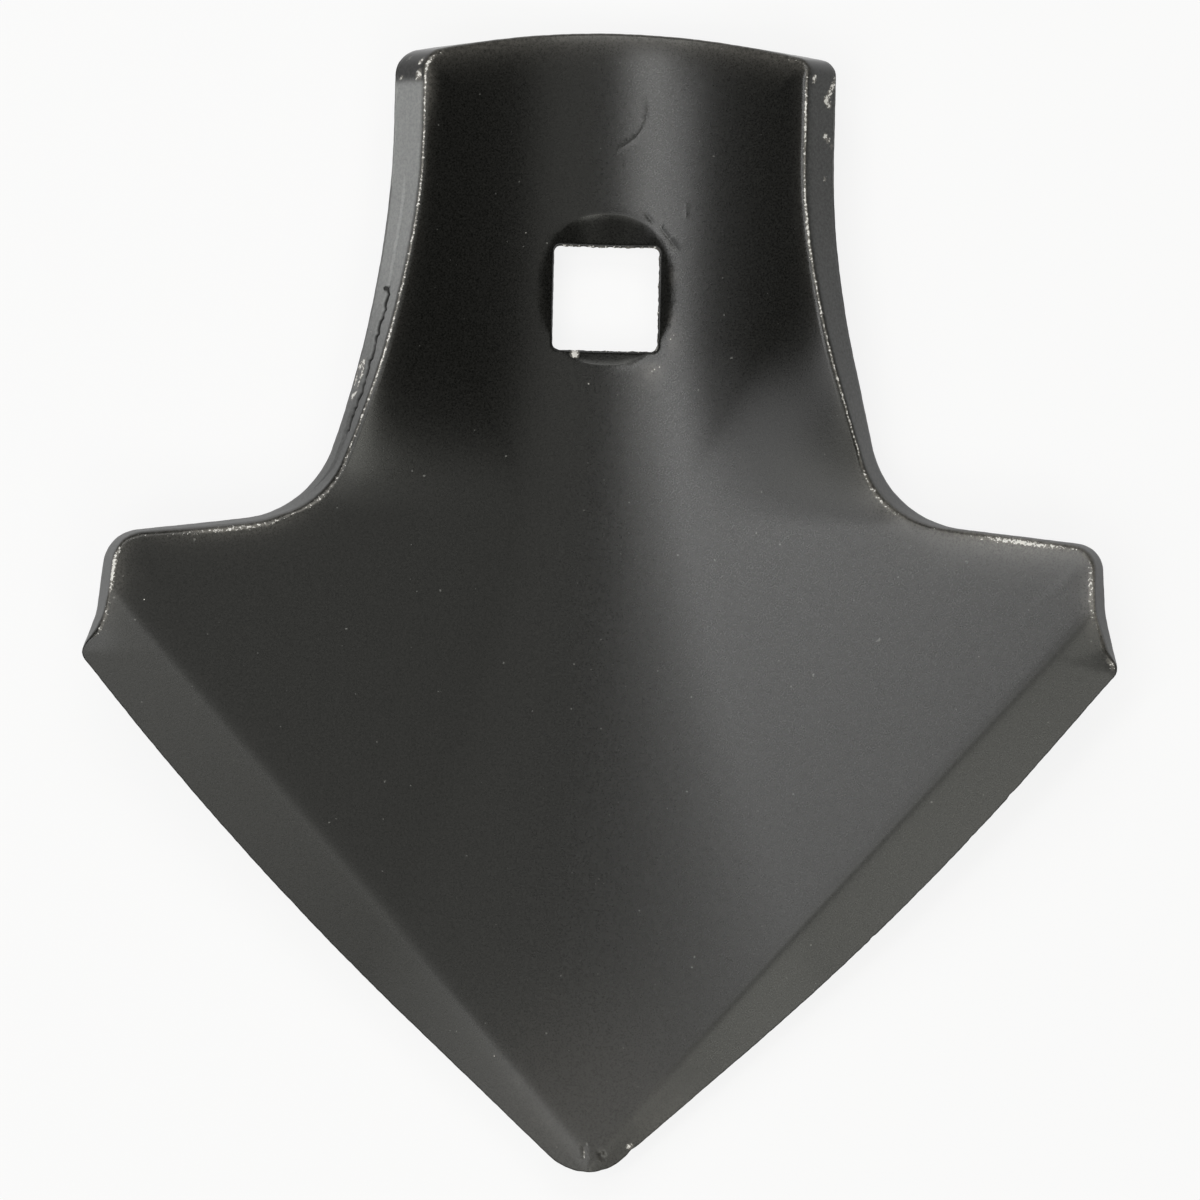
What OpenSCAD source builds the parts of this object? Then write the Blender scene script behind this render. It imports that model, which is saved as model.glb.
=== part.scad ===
// Cultivator sweep: one pressed steel plate with a square bolt hole.
// It lies on its rounded back with its hollow face up. The tip points to -Y and the neck to +Y.
// Heights along the plate are measured from the tip, and the origin is under the middle of the plate.

/* [Plate] */
// Length from the tip to the top of the neck
plate_len = 115.5; // [105:0.5:130]
// Width over the ears at the ends of the cutting edges
wing_span = 104.5; // [98:0.5:112]
// Thickness of the steel
plate_t = 5; // [3.5:0.25:6]
// Radius of the rounded rims
rim_r = 0.6; // [0.3:0.05:0.9]

/* [Neck] */
// Width of the neck
neck_w = 44; // [38:0.2:50]
// Rise of the arched top edge in its middle
top_arch = 2.8; // [1:0.1:4]
// Radius of the two top corners
top_corner_r = 2.4; // [1.2:0.1:4]
// Angle by which the foot of the neck spreads on each side
flank_angle = 18; // [8:0.5:24]
// Radius of the curve in which the neck spreads, held to what fits
flank_r = 103; // [60:1:120]
// Height at which the sides of the neck start to spread, if they were bent sharply
flank_bend_y = 89.5; // [86:0.5:94]

/* [Wings] */
// Height at which the line of the shoulder meets the side of the neck
shoulder_y = 67.4; // [64:0.1:69]
// Angle by which the shoulder falls away outward
shoulder_angle = 6.6; // [2:0.1:9]
// Radius between the neck and the shoulder
shoulder_r = 10.5; // [5:0.5:12]
// Radius of the top corner of the wing
wing_corner_r = 3.5; // [1.5:0.25:4.5]
// Angle by which the end of the wing leans outward
wing_end_angle = 5; // [0:0.5:8]
// Height of the foot of the wing end, where the ear starts to swell
ear_start_y = 57; // [55.5:0.1:58]
// Distance by which the ear stands out past the foot of the wing end
ear_swell = 1.2; // [0.5:0.1:2]
// Angle of the swell toward the ear
swell_angle = 15.5; // [13:0.5:22]
// Radius of the curve where the swell starts
swell_r = 6; // [3:0.5:9]
// Height of the ear
ear_y = 52.2; // [51:0.1:53]
// Radius of the ear
ear_r = 1.3; // [0.9:0.1:1.8]

/* [Cutting edge] */
// Angle between the cutting edge and the centre line at the ear
edge_angle = 38; // [36.5:0.1:39.5]
// Angle between the cutting edge and the centre line at the tip
tip_angle = 47.5; // [46.5:0.1:49]
// Radius of the bow of the cutting edge, held to what fits
edge_bow_r = 285; // [150:5:300]
// Radius of the tip
tip_r = 5.5; // [3.5:0.25:6]
// Angle between the inner line of the bevel and the centre line
bevel_angle = 41.2; // [40:0.1:42]
// Height at which the inner line of the bevel meets the centre line
bevel_tip_y = 0.7; // [0.3:0.1:2]
// Angle between the bevel and the face of the wing
bevel_fall = 18; // [8:0.5:20]

/* [Pressed form] */
// Radius of the bend along the middle of the back, in the neck
bend_r = 36; // [32:0.5:44]
// Radius of the bend at the tip
tip_bend_r = 170; // [60:5:240]
// Height from which the bend opens toward the tip
bend_open_y = 84; // [74:0.5:94]
// Rise of the wings to each side
wing_rise = 11; // [8:0.5:18]
// Rise of the walls of the neck
neck_rise = 37; // [32:0.5:42]
// Height at which the wings start to close into the neck
close_from_y = 66; // [60:0.5:70]
// Height at which the neck is fully closed
close_to_y = 94; // [88:0.5:102]

/* [Bolt hole] */
// Side of the square hole
hole_w = 10.8; // [9:0.1:12]
// Radius of the corners of the hole
hole_corner_r = 0.7; // [0.4:0.1:1.5]
// Height of the centre of the hole
hole_y = 88.6; // [84:0.1:94]
// Width of the dish round the hole, on the middle line of the face
dish_w = 10.7; // [9.5:0.1:12.5]
// Length of the dish along the neck
dish_len = 15; // [13:0.1:18]
// Distance by which the dish lies above the hole
dish_offset = 0.6; // [0:0.1:1.5]
// Angle at which the wall of the dish falls from the face
dish_angle = 32; // [20:1:45]

/* [Hidden] */

// Largest distance between two points along the outline
row_step = 2.8;
// Largest turn between two points of a rounded corner
turn_step = 15;
// Largest share of the room between two corners that a long curve takes
curve_share = 0.97;
// Strips from the middle line to the bevel, and on to the rim
inner_strips = 9;
outer_strips = 3;
// Least and greatest share of a row that the inner strips take
inner_share = [0.15, 0.94];
// Share of the tip radius at which the outline ends beside the middle line
tip_share = 0.25;
// Distance by which the rows to the shoulder start lower on the middle line than they end
row_lift = 2.5;
// Power by which the bend opens toward the tip, slowly at first
opening_power = 1.5;
// Step for measuring the slope of the form
slope_step = 0.01;
// Room by which the cutters pass the plate
pass = 4;
// Sides of the round ends of the dish
dish_sides = 48;
// Colour of the paint
paint = "#2b2d2e";

function unit(v) = v / norm(v);
function turned(v, angle) = [v.x * cos(angle) - v.y * sin(angle), v.x * sin(angle) + v.y * cos(angle)];
function mirrored(v) = [-v.x, v.y];
function clamped(t, low, high) = min(max(t, low), high);
function smooth(t) = let (s = clamped(t, 0, 1)) s * s * (3 - 2 * s);
function last(list) = list[len(list) - 1];

// Directions at an angle from the middle line, pointing up the plate and down it
function upward(angle) = [sin(angle), cos(angle)];
function downward(angle) = [sin(angle), -cos(angle)];

// Point where the line through a along u meets the line through b along v
function crossing(a, u, b, v) = a + u * cross(b - a, v) / cross(u, v);

// Arc of radius r that rounds the corner b between a and c
function rounded(a, b, c, r) =
    let (
        u = unit(a - b),
        v = unit(c - b),
        half = acos(u * v) / 2,
        centre = b + unit(u + v) * r / sin(half),
        start = b + u * r / tan(half) - centre,
        sweep = (180 - 2 * half) * (cross(u, v) > 0 ? -1 : 1),
        steps = ceil(max(abs(sweep) / turn_step, r * abs(sweep) * PI / 180 / row_step))
    )
    [for (i = [0:steps]) centre + turned(start, sweep * i / steps)];

// Distance from the corner b between a and c to the ends of an arc of radius r that rounds it
function arc_reach(a, b, c, r) = r / tan(acos(unit(a - b) * unit(c - b)) / 2);

// The radius r, or the greatest one whose arc stays within its share of the room
function held(r, a, b, c, room) = r * min(1, curve_share * room / arc_reach(a, b, c, r));

// Two stretches of an outline, with points along the straight line that joins them
function joined(a, b) =
    let (
        from = last(a),
        step = b[0] - from,
        count = ceil(norm(step) / row_step)
    )
    concat(a, [for (i = [1:1:count - 1]) from + step * i / count], b);

// Corners of the right half of the outline, before they are rounded
half_span = wing_span / 2;
arch_aim = [0, plate_len + top_arch];
top_corner = [neck_w / 2, plate_len - top_arch];
flank_corner = [neck_w / 2, flank_bend_y];
shoulder_way = downward(90 - shoulder_angle);
shoulder_corner = crossing(flank_corner, downward(flank_angle), [neck_w / 2, shoulder_y], shoulder_way);
ear_centre = [half_span - ear_r, ear_y];
swell_touch = ear_centre + ear_r * turned([1, 0], swell_angle);
edge_touch = ear_centre + ear_r * turned([1, 0], -edge_angle);
ear_start = crossing(
    [half_span - ear_swell, ear_start_y], downward(wing_end_angle),
    swell_touch, downward(swell_angle)
);
wing_corner = crossing(shoulder_corner, shoulder_way, ear_start, downward(wing_end_angle));
ear = crossing(swell_touch, downward(swell_angle), edge_touch, upward(edge_angle));
tip_corner = [0, tip_r - tip_r / sin(tip_angle)];
bow_corner = crossing(ear, upward(edge_angle), tip_corner, upward(tip_angle));

// Room for the curve of the neck, and for the bow of the cutting edge
flank_room = min(
    norm(flank_corner - top_corner) - arc_reach(arch_aim, top_corner, flank_corner, top_corner_r),
    norm(flank_corner - shoulder_corner) - arc_reach(flank_corner, shoulder_corner, wing_corner, shoulder_r)
);
bow_room = min(
    norm(bow_corner - edge_touch),
    norm(bow_corner - tip_corner) - arc_reach(bow_corner, tip_corner, mirrored(bow_corner), tip_r)
);
neck_curve_r = held(flank_r, top_corner, flank_corner, shoulder_corner, flank_room);
bow_r = held(edge_bow_r, ear, bow_corner, tip_corner, bow_room);

// The right half of the outline, from the top of the neck round to the tip
neck_line = joined(
    joined(
        rounded(arch_aim, top_corner, flank_corner, top_corner_r),
        rounded(top_corner, flank_corner, shoulder_corner, neck_curve_r)
    ),
    rounded(flank_corner, shoulder_corner, wing_corner, shoulder_r)
);
shoulder_line = joined(neck_line, rounded(shoulder_corner, wing_corner, ear_start, wing_corner_r));
ear_line = joined(
    joined(shoulder_line, rounded(wing_corner, ear_start, ear, swell_r)),
    rounded(ear_start, ear, bow_corner, ear_r)
);
tip_line = rounded(bow_corner, tip_corner, mirrored(bow_corner), tip_r);
outline = joined(
    joined(ear_line, rounded(ear, bow_corner, tip_corner, bow_r)),
    [for (p = tip_line) if (p.x > tip_r * tip_share) p]
);
rows = len(outline);

// Distance along the outline to each of its points
run = [
    for (i = 0, s = 0; i < rows; i = i + 1, s = i < rows ? s + norm(outline[i] - outline[i - 1]) : s) s
];

// The outline drawn in by the radius of the rim
function outline_normal(i) =
    let (
        before = i > 0 ? outline[i - 1] : arch_aim,
        after = i < rows - 1 ? outline[i + 1] : mirrored(outline[i])
    )
    unit(turned(after - before, 90));
inner_line = [for (i = [0:rows - 1]) outline[i] - rim_r * outline_normal(i)];

// Height at which the row to each point of the outline leaves the middle line
keel_marks = [
    [0, plate_len - rim_r],
    [run[len(neck_line) - 1], last(neck_line).y - row_lift],
    [run[len(ear_line) - 1], last(ear_line).y],
    [last(run), rim_r]
];
keel = [for (s = run) lookup(s, keel_marks)];

// Shares of row i at which its strips meet, with one of them on the inner line of the bevel
function row_shares(i) =
    let (
        q = inner_line[i],
        bend = (q.y - keel[i]) / (q.x * q.x),
        climb = 1 / tan(bevel_angle),
        over = keel[i] - bevel_tip_y,
        bevel_x = 2 * over / (climb + sqrt(max(0, climb * climb - 4 * bend * over))),
        share = clamped(bevel_x / q.x, inner_share[0], inner_share[1])
    )
    concat(
        [for (j = [0:inner_strips]) share * j / inner_strips],
        [for (j = [1:outer_strips]) share + (1 - share) * j / outer_strips]
    );

// Row i seen from above, from the left rim to the right
strips = inner_strips + outer_strips;
columns = 2 * strips + 1;
function row_points(i) =
    let (
        q = inner_line[i],
        half_row = [for (f = row_shares(i)) [q.x * f, keel[i] + (q.y - keel[i]) * f * f]]
    )
    concat([for (j = [strips:-1:1]) mirrored(half_row[j])], half_row);
plan = [for (i = [0:rows - 1]) row_points(i)];

// The pressed form: a round bend along the middle, and straight walls that rise from it.
// The walls close from the wings into the neck, and the bend opens toward the tip.
function rise_at(y) =
    wing_rise + (neck_rise - wing_rise) * smooth((y - close_from_y) / (close_to_y - close_from_y));
function bend_at(y) =
    bend_r + (tip_bend_r - bend_r) * pow(max(0, 1 - y / bend_open_y), opening_power);
function form_z(x, y) =
    let (
        rise = rise_at(y),
        bend = bend_at(y),
        foot = bend * sin(rise)
    )
    abs(x) < foot
        ? bend - sqrt(bend * bend - x * x)
        : bend * (1 - cos(rise)) + (abs(x) - foot) * tan(rise);
function form_normal(x, y) =
    unit([
        form_z(x - slope_step, y) - form_z(x + slope_step, y),
        form_z(x, y - slope_step) - form_z(x, y + slope_step),
        2 * slope_step
    ]);

// Thickness of the steel, less on the bevel
function thickness(x, y) =
    let (past_bevel = (abs(x) - (y - bevel_tip_y) * tan(bevel_angle)) * cos(bevel_angle))
    plate_t - max(0, past_bevel) * tan(bevel_fall);

// Point of the plate over the plan point p, at a depth under the face or a height over the back.
// The outline lies at the height of rim_r over the back.
function on_plate(p, height) = [p.x, p.y, form_z(p.x, p.y)] + form_normal(p.x, p.y) * (height - rim_r);
function under_face(p, depth) = on_plate(p, thickness(p.x, p.y) - depth);

// Places of the rim in the plan: along the top, down the right side, back along the tip and up the left
rim_places = concat(
    [for (j = [0:columns - 1]) [0, j]],
    [for (i = [1:rows - 1]) [i, columns - 1]],
    [for (j = [columns - 2:-1:0]) [rows - 1, j]],
    [for (i = [rows - 2:-1:1]) [i, 0]]
);
rim_count = len(rim_places);
rim_line = [for (place = rim_places) plan[place[0]][place[1]]];
function rim_normal(s) =
    unit(turned(rim_line[(s + 1) % rim_count] - rim_line[(s + rim_count - 1) % rim_count], 90));

// Two turns of the rounded rim, each as a reach outward and a drop from the face or the back
rim_turns = [for (turn = [45, 90]) [sin(turn), 1 - cos(turn)] * rim_r];
function rim_point(s, turn) = rim_line[s] + rim_normal(s) * turn[0];
face_rings = [
    for (turn = rim_turns, s = [0:rim_count - 1]) under_face(rim_point(s, turn), turn[1])
];
back_rings = [
    for (turn = [rim_turns[1], rim_turns[0]], s = [0:rim_count - 1]) on_plate(rim_point(s, turn), turn[1])
];

// Numbers of the points on the face, on the back and round the rim
back_start = rows * columns;
ring_start = 2 * back_start;
function face_id(i, j) = i * columns + j;
function ring_id(ring, s) = ring_start + ring * rim_count + s % rim_count;
face_rim_ids = [for (place = rim_places) face_id(place[0], place[1])];
ring_ids = concat(
    [face_rim_ids],
    [for (ring = [0:3]) [for (s = [0:rim_count - 1]) ring_id(ring, s)]],
    [[for (id = face_rim_ids) id + back_start]]
);

// Two triangles of a four-sided cell, split along either diagonal
function cell(a, b, c, d, lean) = lean ? [[a, b, c], [a, c, d]] : [[a, b, d], [b, c, d]];
face_cells = [
    for (i = [0:rows - 2], j = [0:columns - 2])
        each cell(face_id(i, j), face_id(i, j + 1), face_id(i + 1, j + 1), face_id(i + 1, j), j < strips)
];
back_cells = [for (t = face_cells) [t[2], t[1], t[0]] + [1, 1, 1] * back_start];
rim_cells = [
    for (ring = [0:len(ring_ids) - 2], s = [0:rim_count - 1])
        let (
            upper = ring_ids[ring],
            lower = ring_ids[ring + 1],
            next = (s + 1) % rim_count
        )
        each cell(upper[next], upper[s], lower[s], lower[next], s % 2 == 0)
];

module plate() {
    polyhedron(
        points = concat(
            [for (row = plan, p = row) under_face(p, 0)],
            [for (row = plan, p = row) on_plate(p, 0)],
            face_rings,
            back_rings
        ),
        faces = concat(face_cells, back_cells, rim_cells),
        convexity = 6
    );
}

module bolt_hole() {
    half = hole_w / 2;
    corners = [[half, half], [half, -half], [-half, -half], [-half, half]];
    translate([0, hole_y, -rim_r - pass])
        linear_extrude(plate_t + 2 * pass)
            polygon([
                for (k = [0:3])
                    each rounded(corners[(k + 3) % 4], corners[k], corners[(k + 1) % 4], hole_corner_r)
            ]);
}

module dish() {
    floor_r = dish_w / 4;
    depth = (dish_w / 2 - floor_r) * tan(dish_angle);
    height = depth + pass;
    centre_shift = (dish_len - dish_w) / 2;
    hull()
        for (side = [-1, 1])
            translate([0, hole_y + dish_offset + side * centre_shift, plate_t - rim_r - depth])
                cylinder(h = height, r1 = floor_r, r2 = floor_r + height / tan(dish_angle), $fn = dish_sides);
}

module sweep() {
    color(paint)
        translate([0, -plate_len / 2, rim_r])
            difference() {
                plate();
                bolt_hole();
                dish();
            }
}

sweep();
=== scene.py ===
"""A cultivator sweep: one pressed steel plate in worn black satin paint, lying on its rounded back."""

import math

import bpy
import numpy as np
from mathutils import Matrix, Vector
from mathutils.geometry import delaunay_2d_cdt
from mathutils.kdtree import KDTree


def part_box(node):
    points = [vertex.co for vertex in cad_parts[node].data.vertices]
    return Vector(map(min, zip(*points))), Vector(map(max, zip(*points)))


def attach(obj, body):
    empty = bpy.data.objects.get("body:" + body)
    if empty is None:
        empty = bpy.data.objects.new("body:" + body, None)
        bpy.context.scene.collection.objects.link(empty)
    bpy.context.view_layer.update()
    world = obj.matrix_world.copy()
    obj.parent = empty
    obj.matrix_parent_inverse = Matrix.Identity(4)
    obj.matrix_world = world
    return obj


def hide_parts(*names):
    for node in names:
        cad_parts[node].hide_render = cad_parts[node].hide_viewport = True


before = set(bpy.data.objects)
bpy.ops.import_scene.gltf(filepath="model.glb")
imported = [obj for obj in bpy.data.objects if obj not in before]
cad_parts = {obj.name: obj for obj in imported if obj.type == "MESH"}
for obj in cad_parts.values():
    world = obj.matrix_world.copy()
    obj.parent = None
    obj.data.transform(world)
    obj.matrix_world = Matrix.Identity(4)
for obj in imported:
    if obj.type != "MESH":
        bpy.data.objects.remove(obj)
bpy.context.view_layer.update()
LOW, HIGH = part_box("sweep")
MM = 0.001

# Sizes of the plate in millimetres and degrees, and plain powers. Heights are measured from the tip.
PLATE_LEN = (HIGH.y - LOW.y) / MM
PLATE_T = 5.0
RIM_R = 0.6
EDGE_RIM_R = 0.1
TOP_RIM_R = 0.3
SWELL_R = 6.0
EAR_R = 1.3
BEVEL_ANGLE = 41.2
BEVEL_TIP_Y = 0.7
BEVEL_FALL = 18.0
BEVEL_SOFT_LEFT = 0.6
BEVEL_SOFT_RIGHT = 0.25
BEND_R = 36.0
TIP_BEND_R = 170.0
BEND_OPEN_Y = 84.0
OPENING_POWER = 1.5
WING_RISE = 11.0
NECK_RISE = 37.0
CLOSE_FROM_Y = 66.0
CLOSE_TO_Y = 94.0
HOLE_W = 10.8
HOLE_CORNER_R = 0.7
HOLE_PLACE = np.array([-0.2, 88.6])
HOLE_EDGE_R = 0.2
HOLE_TAPER = 0.22
BURR_W = 0.24
DISH_PLACE = np.array([-0.15, 89.5])
DISH_HALF = np.array([6.45, 7.65])
DISH_POWER = 2.4
DISH_DROP = 4.0
DISH_SOFT = 0.1
DISH_REACH = 2

# The two sides of this plate differ a little, as pressed and worn plates do
RIGHT_SIDE = {
    "neck_half": 22.3, "top_arch": 2.72, "top_corner_r": 1.8,
    "flank_angle": 14.3, "flank_r": 83.5, "flank_bend_y": 92.4,
    "shoulder_y": 67.46, "shoulder_angle": 5.9, "shoulder_r": 10.6,
    "wing_corner_r": 2.9, "wing_end_angle": 4.0,
    "half_span": 52.05, "ear_start_y": 57.0, "ear_swell": 1.16, "swell_angle": 12.9, "ear_y": 52.4,
    "edge_angle": 39.3, "tip_angle": 48.0, "edge_bow_r": 281, "tip_r": 4.85,
}
LEFT_SIDE = {
    "neck_half": 21.9, "top_arch": 2.82, "top_corner_r": 2.85,
    "flank_angle": 18.8, "flank_r": 103, "flank_bend_y": 89.15,
    "shoulder_y": 67.45, "shoulder_angle": 7.65, "shoulder_r": 10.8,
    "wing_corner_r": 3.9, "wing_end_angle": 6.2,
    "half_span": 52.14, "ear_start_y": 56.9, "ear_swell": 1.37, "swell_angle": 18.6, "ear_y": 51.7,
    "edge_angle": 38.9, "tip_angle": 47.25, "edge_bow_r": 336, "tip_r": 5.95,
}

# Distances between the points of the mesh, and numbers of points
RIM_STEP = 0.3
HOLE_STEP = 0.2
FACE_STEP = 0.5
BACK_STEP = 1.0
RING_STEP = 0.35
RING_ROW = 0.01
RIM_BAND = 1.1
HOLE_BAND = 0.8
SLOPE_STEP = 0.01
SCRATCH_STEP = 0.15
CLEAR_SHARE = 0.6
SAME_PLACE = 1e-5
ARC_POINTS = 40
FACE_RIM_STEPS = 6
BACK_RIM_STEPS = 4
HOLE_EDGE_STEPS = 3
SPOT_SIDES = 7
SEARCH_ROUNDS = 5


# Outline

def unit(v):
    return v / np.hypot(*v)


def heading(angle):
    """Direction at an angle from the middle line, pointing up the plate and outward."""
    turn = math.radians(angle)
    return np.array([math.sin(turn), math.cos(turn)])


def downward(angle):
    """Direction at an angle from the middle line, pointing down the plate and outward."""
    return heading(180 - angle)


def crossing(a, u, b, v):
    """Point where the line through a along u meets the line through b along v."""
    gap = b - a
    return a + u * (gap[0] * v[1] - gap[1] * v[0]) / (u[0] * v[1] - u[1] * v[0])


def rounded(a, b, c, radius, points=ARC_POINTS):
    """Arc that rounds the corner b between a and c."""
    u, v = unit(a - b), unit(c - b)
    half = math.acos(u @ v) / 2
    centre = b + unit(u + v) * radius / math.sin(half)
    start = b + u * radius / math.tan(half) - centre
    side = -1 if u[0] * v[1] - u[1] * v[0] > 0 else 1
    turns = math.atan2(start[1], start[0]) + np.linspace(0, side * (math.pi - 2 * half), points)
    return centre + radius * np.column_stack([np.cos(turns), np.sin(turns)])


def half_outline(size):
    """One half of the outline on the side of +x, from the middle of the top round to the tip."""
    arch_aim = np.array([0, PLATE_LEN + size["top_arch"]])
    top = np.array([size["neck_half"], PLATE_LEN - size["top_arch"]])
    flank = np.array([size["neck_half"], size["flank_bend_y"]])
    shoulder_way = downward(90 - size["shoulder_angle"])
    shoulder_start = np.array([size["neck_half"], size["shoulder_y"]])
    shoulder = crossing(flank, downward(size["flank_angle"]), shoulder_start, shoulder_way)
    ear_centre = np.array([size["half_span"] - EAR_R, size["ear_y"]])
    swell_way = downward(size["swell_angle"])
    swell_touch = ear_centre + EAR_R * heading(90 - size["swell_angle"])
    edge_way = heading(size["edge_angle"])
    edge_touch = ear_centre + EAR_R * downward(90 - size["edge_angle"])
    end_way = downward(size["wing_end_angle"])
    wing_foot = np.array([size["half_span"] - size["ear_swell"], size["ear_start_y"]])
    ear_start = crossing(wing_foot, end_way, swell_touch, swell_way)
    wing = crossing(shoulder, shoulder_way, ear_start, end_way)
    ear = crossing(swell_touch, swell_way, edge_touch, edge_way)
    tip = np.array([0, size["tip_r"] - size["tip_r"] / math.sin(math.radians(size["tip_angle"]))])
    bow = crossing(ear, edge_way, tip, heading(size["tip_angle"]))
    top_arc = rounded(arch_aim, top, flank, size["top_corner_r"])
    arch_share = np.linspace(0, 1, ARC_POINTS, endpoint=False)
    arch_y = PLATE_LEN - (PLATE_LEN - top_arc[0, 1]) * arch_share ** 2
    tip_arc = rounded(bow, tip, bow * [-1, 1], size["tip_r"])
    return np.vstack([
        np.column_stack([arch_share * top_arc[0, 0], arch_y]),
        top_arc,
        rounded(top, flank, shoulder, size["flank_r"]),
        rounded(flank, shoulder, wing, size["shoulder_r"]),
        rounded(shoulder, wing, ear_start, size["wing_corner_r"]),
        rounded(wing, ear_start, ear, SWELL_R),
        rounded(ear_start, ear, bow, EAR_R),
        rounded(ear, bow, tip, size["edge_bow_r"]),
        tip_arc[tip_arc[:, 0] >= 0],
    ])


def evenly_spaced(points, step):
    """Points at equal distances along a closed line."""
    closed = np.vstack([points, points[:1]])
    run = np.concatenate([[0], np.cumsum(np.hypot(*np.diff(closed, axis=0).T))])
    marks = np.linspace(0, run[-1], round(run[-1] / step), endpoint=False)
    return np.column_stack([np.interp(marks, run, closed[:, k]) for k in (0, 1)])


def outward_normals(loop):
    """Normals of a closed line that runs counter-clockwise."""
    along = np.roll(loop, -1, axis=0) - np.roll(loop, 1, axis=0)
    return np.column_stack([along[:, 1], -along[:, 0]]) / np.hypot(*along.T)[:, None]


def smooth(t):
    """Rises from nought to one, gently at both ends, and is held there."""
    s = np.clip(t, 0, 1)
    return s * s * (3 - 2 * s)


def away(points, place):
    """Distances of plan points from a place."""
    return np.hypot(*(points - place).T)


def hump(distance, width):
    """One at no distance, falling to nothing past the width."""
    return np.exp(-(distance / width) ** 2)


def ripple(run, lengths, seed):
    """Uneven waves along a line, about one high, from waves of the given lengths."""
    phases = np.random.default_rng(seed).uniform(0, 2 * math.pi, len(lengths))
    waves = [np.sin(2 * math.pi * run / length + phase) for length, phase in zip(lengths, phases)]
    return np.sum(waves, axis=0) / math.sqrt(len(lengths))


# Nicks in the cutting edges and at the tip: place, half width and depth
NICKS = [
    ((4.5, 2.2), 0.4, 0.12), ((42.1, 39.2), 0.4, 0.14), ((38.3, 34.7), 0.4, 0.14), ((20.6, 16.0), 0.4, 0.08),
    ((1.4, 0.1), 0.5, 0.06), ((-0.5, 0.1), 0.4, 0.05), ((-30.0, 27.0), 0.5, 0.06), ((28.5, 24.5), 0.4, 0.08),
]
# Shallow unevenness of the whole outline: its depth and the lengths of its waves
UNEVEN_DEPTH = 0.012
UNEVEN_WAVES = (9.1, 4.3, 2.3, 1.1)

right_half = half_outline(RIGHT_SIDE)[::-1]
left_half = half_outline(LEFT_SIDE)[1:-1] * [-1, 1]
outline = evenly_spaced(np.vstack([right_half, left_half]), RIM_STEP)
outline_normal = outward_normals(outline)
outline_run = np.arange(len(outline)) * RIM_STEP
dent = UNEVEN_DEPTH * (1 + ripple(outline_run, UNEVEN_WAVES, 1))
for nick_place, nick_w, nick_depth in NICKS:
    dent = dent + nick_depth * hump(away(outline, nick_place), nick_w)
outline = outline - outline_normal * np.maximum(dent, 0)[:, None]
outline_normal = outward_normals(outline)
outline_x, outline_y = outline.T

half_hole = HOLE_W / 2
hole_corners = half_hole * np.array([[1, 1], [-1, 1], [-1, -1], [1, -1]])
hole_arcs = [
    rounded(hole_corners[k - 1], hole_corners[k], hole_corners[(k + 1) % 4], HOLE_CORNER_R)
    for k in range(4)
]
hole_loop = HOLE_PLACE + evenly_spaced(np.vstack(hole_arcs), HOLE_STEP)
hole_normal = outward_normals(hole_loop)


def nearest_on(loop, plan):
    """Distance from each plan point to a loop, and the number of the loop's nearest point."""
    tree = KDTree(len(loop))
    for number, p in enumerate(loop):
        tree.insert((p[0], p[1], 0), number)
    tree.balance()
    found = [tree.find((p[0], p[1], 0)) for p in plan]
    return np.array([f[2] for f in found]), np.array([f[1] for f in found])


# Shares of the outline that are cutting edge, top, neck and left side, and the lengths they blend over
EAR_END_Y = 54.5
NECK_FROM_Y = 68.0
TOP_LEN = 5
EDGE_BLEND = 3
TOP_BLEND = 3
NECK_BLEND = 8
SIDE_BLEND = 4
cutting = smooth((EAR_END_Y - outline_y) / EDGE_BLEND)
at_top = smooth((outline_y - PLATE_LEN + TOP_LEN) / TOP_BLEND)
on_neck = smooth((outline_y - NECK_FROM_Y) / NECK_BLEND) * (1 - at_top)
on_left = smooth(-outline_x / SIDE_BLEND + 0.5)


def spread(stops, base):
    """Values along the outline: a base, raised near each stop, which has a place, a reach and a value."""
    values = np.broadcast_to(base, len(outline)).copy()
    for place, reach, value in stops:
        values = np.maximum(values, value * hump(away(outline, place), reach))
    return values


# The rim of the face is sharpest at the cutting edges, at the top and at the ends of the wings
RIGHT_END = (51.0, 59.0)
LEFT_END = (-51.0, 59.0)
WING_END_SHARPER = 0.65
wing_ends = spread([(RIGHT_END, 5.0, 1.0), (LEFT_END, 4.5, 1.0)], 0.0)
face_rim_r = RIM_R + (EDGE_RIM_R - RIM_R) * cutting + (TOP_RIM_R - RIM_R) * at_top
face_rim_r = face_rim_r * (1 - WING_END_SHARPER * wing_ends * (1 - cutting))
# The face rolls over toward the sheared rim, least at the cutting edges and at the ends of the wings
ROLL_DEPTH = 0.36
ROLL_W = 1.5
EDGE_ROLL_W = 0.8
WING_END_LESS_ROLL = 0.9
roll_depth = ROLL_DEPTH * (1 - cutting) * (1 - WING_END_LESS_ROLL * wing_ends)
roll_width = EDGE_ROLL_W + (ROLL_W - EDGE_ROLL_W) * (1 - cutting)


# Pressed form

def soft_max(a, b, softness):
    """The greater of two values, rounded over where they are alike."""
    return (a + b + np.sqrt((a - b) ** 2 + softness ** 2)) / 2


def form_z(x, y):
    """Height of the pressed form: a round bend along the middle, and walls that rise from it."""
    closed = smooth((y - CLOSE_FROM_Y) / (CLOSE_TO_Y - CLOSE_FROM_Y))
    rise = np.radians(WING_RISE + (NECK_RISE - WING_RISE) * closed)
    opened = np.maximum(1 - y / BEND_OPEN_Y, 0) ** OPENING_POWER
    bend = BEND_R + (TIP_BEND_R - BEND_R) * opened
    foot = bend * np.sin(rise)
    reach = np.abs(x)
    trough = bend - np.sqrt(bend ** 2 - np.minimum(reach, foot) ** 2)
    return trough + np.maximum(reach - foot, 0) * np.tan(rise)


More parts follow.
